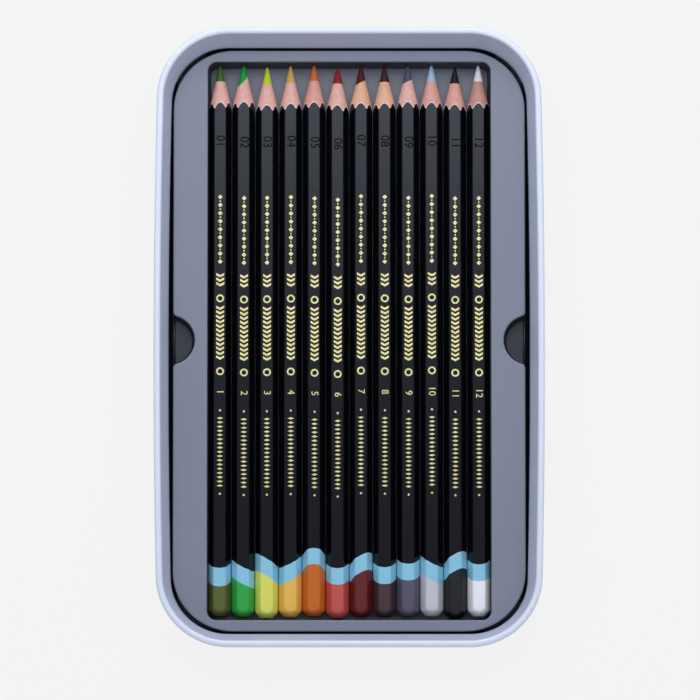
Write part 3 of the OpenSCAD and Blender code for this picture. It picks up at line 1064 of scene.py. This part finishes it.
# %% Zones that are sharpened
def sharpened_zones(tree, given):
    mesh, turn, share = grid(tree, 4)
    y = along(tree, share, scallop(tree, given, turn, PRIMER_L), scallop(tree, given, turn))
    primer = zone(tree, given, mesh, turn, y, hexagon(tree, turn), "Primer")

    mesh, turn, share = grid(tree, 24)
    ring = core_ring(tree, given, turn)
    y = along(tree, share, scallop(tree, given, turn), down_the_cone(tree, given, ring))
    wood = zone(tree, given, mesh, turn, y, along(tree, share, hexagon(tree, turn), ring), "Wood")

    mesh, turn, share = grid(tree, 16)
    ring = core_ring(tree, given, turn)
    ball_ring = calc(tree, "MULTIPLY", given["Point radius"], math.cos(POINT_ANGLE))
    y = along(tree, share, down_the_cone(tree, given, ring), down_the_cone(tree, given, ball_ring))
    core = zone(tree, given, mesh, turn, y, along(tree, share, ring, ball_ring), "Core")

    mesh, turn, share = grid(tree, 8)
    swing = along(tree, share, POINT_ANGLE, math.pi / 2)
    short_of_tip = calc(tree, "SUBTRACT", calc(tree, "SINE", swing), 1.0)
    y = calc(tree, "MULTIPLY_ADD", short_of_tip, given["Point radius"], given["Length"])
    radius = calc(tree, "MULTIPLY", calc(tree, "COSINE", swing), given["Point radius"])
    ball = zone(tree, given, mesh, turn, y, radius, "Core")
    return [primer, wood, core, ball]


# %% [markdown]
# The whole pencil joins its zones and welds the points that they share. Everything
# that differs between two pencils is an input, with a value that suits a plain one.

# %% The pencil tree
def joined(tree, parts):
    whole = add(tree, "GeometryNodeJoinGeometry")
    for part in parts:
        tree.links.new(part, whole.inputs[0])
    return whole.outputs[0]


def welded(tree, shape, distance):
    return add(tree, "GeometryNodeMergeByDistance", {"Geometry": shape, "Distance": distance}).outputs[0]


def pencil_tree():
    tree, given, end = geometry_tree("pencil", [
        ("Length", FLOAT, 0.177), ("Centre X", FLOAT, 0.0), ("Axis Z", FLOAT, 0.0),
        ("Butt Y", FLOAT, 0.0), ("Band top", FLOAT, 0.018), ("Band height", FLOAT, 0.0054),
        ("Wave", FLOAT, 0.002), ("Wave turn", FLOAT, 0.0), ("Core slant", FLOAT, 0.0),
        ("Core turn", FLOAT, 0.0), ("Cut tilt", FLOAT, 0.0), ("Cut turn", FLOAT, 0.0),
        ("Point radius", FLOAT, 0.00045), ("Dip", MATERIAL, None), ("Band", MATERIAL, None),
        ("Lacquer", MATERIAL, None), ("Primer", MATERIAL, None), ("Wood", MATERIAL, None),
        ("Core", MATERIAL, None),
    ])
    whole = joined(tree, painted_zones(tree, given) + sharpened_zones(tree, given))
    real = add(tree, "GeometryNodeRealizeInstances", {0: welded(tree, whole, 2e-6)})
    tree.links.new(real.outputs[0], end.inputs[0])
    print(tree.name, len(tree.nodes), "nodes")
    return tree


# %% [markdown]
# Lacquer goes on in several thin coats over a primer. It is glossy, and it follows
# the grain a little, so long soft waves run down each flat. Cedar has fine grain along
# the pencil and faint rings where the blade went round, and a core is wax and pigment,
# duller and streaked. Every pattern is noise, stretched along the pencil for the
# grain and across it for the rings.

# %% Finishes of the pencils
def lacquer(name, tint, roughness, shine=0.5):
    material, tree, shader = finish_for(name, Base_Color=tint, Roughness=roughness)
    shader.inputs["Specular IOR Level"].default_value = shine
    ripple = noise(tree, object_place(tree, (1, 0.12, 1)), 900, 3)
    bump(tree, shader, ripple, 0.01 * MM, 0.35)
    return material


def cedar(name, light, dark):
    """Planed wood: fine grain along the pencil and the rings a sharpener leaves."""
    material, tree, shader = finish_for(name, Roughness=0.62)
    grain = noise(tree, object_place(tree, (1, 0.05, 1)), 2600, 4, 0.65)
    pores = noise(tree, object_place(tree, (1, 0.1, 1)), 7000, 2)
    tint = blend_colours(tree, spread(tree, grain, 0.3, 0.7), light, dark)
    flecks = spread(tree, pores, 0.6, 0.75, 1.0, 0.7)
    fleck_tint = add(tree, "ShaderNodeCombineColor", {0: flecks, 1: flecks, 2: flecks}).outputs[0]
    speckled = blend_colours(tree, 1.0, tint, fleck_tint, "MULTIPLY")
    tree.links.new(speckled, shader.inputs["Base Color"])
    ridges = noise(tree, object_place(tree, (0.05, 1, 0.05)), 3000, 2)
    bump(tree, shader, ridges, 0.02 * MM, 0.5)
    return material


def wax_core(name, tint):
    material, tree, shader = finish_for(name, Base_Color=tint, Roughness=0.6)
    shader.inputs["Specular IOR Level"].default_value = 0.25
    streaks = noise(tree, object_place(tree, (1, 0.15, 1)), 3200, 3)
    light = [min(1.0, part * 1.2 + 0.004) for part in tint[:3]] + [1]
    streaked = blend_colours(tree, spread(tree, streaks, 0.35, 0.7), tint, light)
    tree.links.new(streaked, shader.inputs["Base Color"])
    bump(tree, shader, streaks, 0.012 * MM, 0.5)
    return material


BLACK = lacquer("black_lacquer", colour(6, 6, 10), 0.2, 0.45)
BLACK_SHEEN = (0.86, 0.89, 1.0, 1.0)
BLACK.node_tree.nodes["Principled BSDF"].inputs["Specular Tint"].default_value = BLACK_SHEEN
BAND = lacquer("pale_blue_band", colour(140, 198, 222), 0.3)
PRIMER = lacquer("primer", colour(236, 206, 200), 0.5, 0.2)
CEDAR = {
    "pink": cedar("pink_cedar", colour(239, 185, 174), colour(212, 152, 138)),
    "tan": cedar("tan_cedar", colour(239, 185, 150), colour(213, 154, 120)),
    "deep": cedar("deep_cedar", colour(228, 168, 153), colour(203, 140, 122)),
    "brown": cedar("brown_cedar", colour(203, 147, 135), colour(181, 122, 108)),
}
print("finishes:", BLACK.name, BAND.name, PRIMER.name, "and", len(CEDAR), "cedars")


# %% [markdown]
# Twelve pencils of one make differ only in colour and in small accidents: how the
# batch was dipped, where the sharpener cut, which board the cedar came from. Each
# paint has a colour for the dip and one for the core: dip paint and pigmented wax
# never match quite. Each accident is one value in a short list, in the order of the
# row. Sizes are in millimetres and turns in degrees.

# %% Paints and accidents
PAINTS = {
    "olive": ((87, 96, 43), (63, 95, 23)),
    "leaf green": ((46, 164, 67), (0, 146, 50)),
    "lime": ((222, 222, 98), (186, 199, 28)),
    "ochre": ((236, 183, 82), (198, 158, 75)),
    "orange": ((201, 101, 28), (196, 98, 42)),
    "brick": ((196, 82, 74), (132, 28, 27)),
    "wine": ((96, 22, 25), (80, 10, 8)),
    "umber": ((67, 45, 49), (60, 17, 18)),
    "slate": ((86, 82, 100), (73, 80, 93)),
    "pale grey": ((200, 197, 200), (157, 182, 206)),
    "black": ((12, 13, 18), (9, 10, 14)),
    "white": ((243, 240, 244), (218, 216, 222)),
}
WOODS = "pink pink pink pink deep pink tan tan pink deep deep brown".split()
BAND_TOPS = [17.2, 16.6, 18.7, 17.7, 19.4, 17.7, 18.2, 17.4, 18.6, 17.7, 19.1, 18.3]
BAND_HEIGHTS = [5.9, 5.4, 5.5, 5.4, 5.1, 5.3, 5.5, 5.4, 5.3, 5.5, 5.4, 5.4]
WAVE = 2.05
WAVE_TURNS = [180, -120, -90, 120, 0, 180, 60, 180, 180, -120, 60, 180]
CORE_SLANTS = {2: (0.45, -75), 7: (0.2, -80), 9: (0.2, -80)}
CUT_TILTS = [(0.3, 60), (0.25, 100), (0.1, 20), (0.3, 70), (0.15, 80), (0.4, -100),
             (0.2, -60), (0.25, 90), (0.2, -20), (0.15, 60), (0.25, -70), (0.2, 120)]
POINT_RADII = [0.45, 0.6, 0.38, 0.4, 0.5, 0.42, 0.4, 0.4, 0.5, 0.45, 0.4, 0.45]
print(len(PAINTS), "paints:", ", ".join(PAINTS))


# %% [markdown]
# Each pencil is one run of the tree at its own place in the row. One object stands
# for the barrel and for its core, because they are glued and show as one surface.

# %% The twelve pencils
def make_pencil(number, tree):
    name = f"pencil_{number:02d}"
    at = number - 1
    low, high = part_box(name + "_barrel")
    dip_tint, core_tint = list(PAINTS.values())[at]
    slant, slant_turn = CORE_SLANTS.get(number, (0.0, 0.0))
    tilt, tilt_turn = CUT_TILTS[at]
    made = grow(name, tree, {
        "Length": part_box(name + "_core")[1].y - low.y,
        "Butt Y": low.y,
        "Centre X": (low.x + high.x) / 2,
        "Axis Z": low.z + FLATS / 2 + COAT,
        "Band top": BAND_TOPS[at] * MM,
        "Band height": BAND_HEIGHTS[at] * MM,
        "Wave": WAVE * MM,
        "Wave turn": math.radians(WAVE_TURNS[at]),
        "Core slant": slant * MM,
        "Core turn": math.radians(slant_turn),
        "Cut tilt": tilt * MM,
        "Cut turn": math.radians(tilt_turn),
        "Point radius": POINT_RADII[at] * MM,
        "Dip": lacquer(f"dip_{number:02d}", colour(*dip_tint), 0.3),
        "Band": BAND,
        "Lacquer": BLACK,
        "Primer": PRIMER,
        "Wood": CEDAR[WOODS[at]],
        "Core": wax_core(f"core_{number:02d}", colour(*core_tint)),
    })
    mend(made, sharp_between_materials=True)
    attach(made, name)
    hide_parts(name + "_barrel", name + "_core")
    return made


one_tree = pencil_tree()
pencils = [make_pencil(number, one_tree) for number in range(1, len(PAINTS) + 1)]
print(len(pencils), "pencils")


# %% [markdown]
# Each barrel carries a row of hot-foil ornament along its top flat, pressed from a
# thin pale gold film by a heated die. The film wears, so its gold varies a little.
# Near the tip the pencil's number is pressed again without foil, and a dull dark face
# is enough to show such a blind stamp.

# %% Foil and blind stamp
def gold_foil():
    material, tree, shader = finish_for("gold_foil", Metallic=0.45, Roughness=0.42)
    wear = noise(tree, object_place(tree), 1800, 3, 0.6)
    worn, bright = colour(206, 190, 120), colour(246, 236, 178)
    tint = blend_colours(tree, spread(tree, wear, 0.35, 0.6), worn, bright)
    tree.links.new(tint, shader.inputs["Base Color"])
    return material


FOIL = gold_foil()
STAMP = lacquer("stamped_black", colour(8, 8, 10), 0.85, 0.1)
print("finishes:", FOIL.name, STAMP.name)


# %% [markdown]
# The ornament is plain shapes and the pencil's number: beads, chevrons, rings, dashes
# and dots. A motif is drawn flat once, and a row sets copies of it out on a line of
# points. So the count, the spacing and the size of a row are single values.

# %% Motifs in a row
def row(tree, motif, start, count, step):
    """Sets a motif out along the pencil, from start behind its tip."""
    line = add(tree, "GeometryNodeMeshLine", {
        "Count": count, "Start Location": (0, -start, 0), "Offset": (0, -step, 0),
    })
    points = add(tree, "GeometryNodeMeshToPoints", {0: line.outputs[0]})
    on_points = {"Points": points.outputs[0], "Instance": motif}
    copies = add(tree, "GeometryNodeInstanceOnPoints", on_points)
    return add(tree, "GeometryNodeRealizeInstances", {0: copies.outputs[0]}).outputs[0]


def disc(tree, sides, across, length):
    """A flat disc, or a lozenge if it has four sides."""
    unit = add(tree, "GeometryNodeMeshCircle", {"Vertices": sides, "Radius": 0.5}, fill_type="NGON")
    sizing = {"Geometry": unit.outputs[0], "Scale": (across, length, 1)}
    return add(tree, "GeometryNodeTransform", sizing).outputs[0]


def chevron(tree, across, stroke, slope):
    """A strip of two squares, folded into a V in its own plane."""
    strip = add(tree, "GeometryNodeMeshGrid", {
        "Size X": across, "Size Y": stroke, "Vertices X": 3, "Vertices Y": 2,
    })
    off_middle = calc(tree, "ABSOLUTE", point_place(tree)["X"])
    return shifted(tree, strip.outputs[0], {1: calc(tree, "MULTIPLY", off_middle, slope)})


def ring(tree, across, inner):
    circles = []
    for width in (across, inner):
        size = {"Resolution": 32, "Radius": width / 2}
        circles.append(add(tree, "GeometryNodeCurvePrimitiveCircle", size).outputs[0])
    return filled(tree, joined(tree, circles))


def filled(tree, curves):
    return add(tree, "GeometryNodeFillCurve", {0: curves}, mode="TRIANGLES").outputs[0]


# %% [markdown]
# A tree can write a number too: it turns the value into text and the text into
# curves. For two digits it writes the number plus a hundred and drops the first
# digit, which puts a nought before the small ones.

# %% A numeral
def numeral(tree, number, size, start, digits=None):
    """The pencil's number, read from its tip to its dipped end."""
    padded = calc(tree, "ADD", number, 10 ** digits if digits else 0)
    text = add(tree, "FunctionNodeValueToString", {0: padded}, data_type="FLOAT").outputs[0]
    if digits:
        cut = {"String": text, "Position": 1, "Length": digits}
        text = add(tree, "FunctionNodeSliceString", cut).outputs[0]
    written = {"String": text, "Size": size}
    curves = add(tree, "GeometryNodeStringToCurves", written, align_x="CENTER", align_y="MIDDLE")
    real = add(tree, "GeometryNodeRealizeInstances", {0: curves.outputs[0]})
    return add(tree, "GeometryNodeTransform", {
        "Geometry": filled(tree, real.outputs[0]),
        "Translation": (0, -start, 0),
        "Rotation": (0, 0, -math.pi / 2),
    }).outputs[0]


# %% [markdown]
# A foil die is flat, so the ornament is flat too. Flat shapes alone would flicker where
# they lie in the lacquer's own surface, so they become thin closed solids that stand a
# few hundredths of a millimetre over it and reach a little way into it.

# %% Flat shapes pressed on a flat
def pressed(tree, given, parts, finish):
    """Joins flat shapes, thickens them into closed solids and sets them on the flat."""
    flat = welded(tree, joined(tree, parts), 1e-6)
    up = add(tree, "ShaderNodeCombineXYZ", {2: 1.0})
    risen = add(tree, "GeometryNodeExtrudeMesh", {
        "Mesh": flat, "Offset": up.outputs[0], "Offset Scale": given["Height"], "Individual": False,
    })
    under = add(tree, "GeometryNodeFlipFaces", {0: flat})
    closed = joined(tree, [risen.outputs[0], under.outputs[0]])
    spot = {0: given["Centre X"], 1: given["Tip Y"],
            2: calc(tree, "SUBTRACT", given["Flat Z"], given["Sunk"])}
    place = add(tree, "ShaderNodeCombineXYZ", spot).outputs[0]
    set_down = add(tree, "GeometryNodeTransform", {"Geometry": closed, "Translation": place})
    paint = {"Geometry": set_down.outputs[0], "Material": given[finish]}
    return add(tree, "GeometryNodeSetMaterial", paint).outputs[0]


# %% [markdown]
# The rows follow each other from the tip to the dipped end. Each line below gives a
# motif, how far behind the tip it starts, how many there are and how far apart. A
# motif on its own is a row of one.

# %% The ornament tree
BEAD = 1.5 * MM
BEAD_STEP = 2.6 * MM
DOT = 0.7 * MM
SMALL_DOT = 0.5 * MM
CHEVRON = (2.5 * MM, 0.75 * MM, 0.55)
CHEVRON_STEP = 1.45 * MM
RING = (2.5 * MM, 1.5 * MM)
DASH = (2.0 * MM, 0.75 * MM)
DASH_STEP = 1.35 * MM
NUMBER_SIZE = 3.1 * MM
STAMP_SIZE = 3.9 * MM


def ornament_tree():
    tree, given, end = geometry_tree("ornament", [
        ("Number", "NodeSocketInt", 1), ("Centre X", FLOAT, 0.0), ("Tip Y", FLOAT, 0.0),
        ("Flat Z", FLOAT, 0.0), ("Height", FLOAT, 0.00005), ("Sunk", FLOAT, 0.00002),
        ("Foil", MATERIAL, None), ("Stamp", MATERIAL, None),
    ])
    foil = [
        row(tree, disc(tree, 4, BEAD, BEAD), 43.0 * MM, 9, BEAD_STEP),
        row(tree, disc(tree, 10, SMALL_DOT, SMALL_DOT), 44.3 * MM, 8, BEAD_STEP),
        row(tree, chevron(tree, *CHEVRON), 68.5 * MM, 3, CHEVRON_STEP),
        row(tree, ring(tree, *RING), 75.6 * MM, 1, MM),
        row(tree, chevron(tree, *CHEVRON), 79.0 * MM, 12, CHEVRON_STEP),
        row(tree, ring(tree, *RING), 99.0 * MM, 1, MM),
        numeral(tree, given["Number"], NUMBER_SIZE, 105.6 * MM),
        row(tree, disc(tree, 10, DOT, DOT), 111.5 * MM, 1, MM),
        row(tree, disc(tree, 4, *DASH), 114.0 * MM, 17, DASH_STEP),
        row(tree, disc(tree, 10, DOT, DOT), 138.2 * MM, 1, MM),
    ]
    stamp = [numeral(tree, given["Number"], STAMP_SIZE, 25.0 * MM, digits=2)]
    layers = [pressed(tree, given, foil, "Foil"), pressed(tree, given, stamp, "Stamp")]
    real = add(tree, "GeometryNodeRealizeInstances", {0: joined(tree, layers)})
    tree.links.new(welded(tree, real.outputs[0], 1e-6), end.inputs[0])
    print(tree.name, len(tree.nodes), "nodes")
    return tree


# %% [markdown]
# No two pencils pass under the die in quite the same place. Each row of ornament
# shifts by a few tenths of a millimetre along and across its flat.

# %% Ornament on every pencil
FOIL_ASIDE = [0.1, 0.2, 0.05, 0.15, 0.2, 0.1, 0.0, 0.1, 0.15, 0.1, 0.05, 0.1]
FOIL_ALONG = [0.0, -0.2, 0.3, 0.1, -0.5, -0.3, 0.2, 0.0, -0.2, 0.3, 0.0, -0.4]


def foil_on(number, tree):
    name = f"pencil_{number:02d}"
    low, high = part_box(name + "_barrel")
    foil = grow(name + "_foil", tree, {
        "Number": number,
        "Centre X": (low.x + high.x) / 2 + FOIL_ASIDE[number - 1] * MM,
        "Tip Y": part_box(name + "_core")[1].y + FOIL_ALONG[number - 1] * MM,
        "Flat Z": low.z + FLATS + COAT,
        "Foil": FOIL,
        "Stamp": STAMP,
    })
    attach(foil, name)
    return foil


one_ornament = ornament_tree()
foils = [foil_on(number, one_ornament) for number in range(1, len(PAINTS) + 1)]
print(len(foils), "rows of foil,", len(foils[0].data.polygons), "faces each")


# %% [markdown]
# Looks should never change how big a thing is. The box of the imported frame is printed.

# %% Print the frame's box and finish
print("CAD box", cad_box)
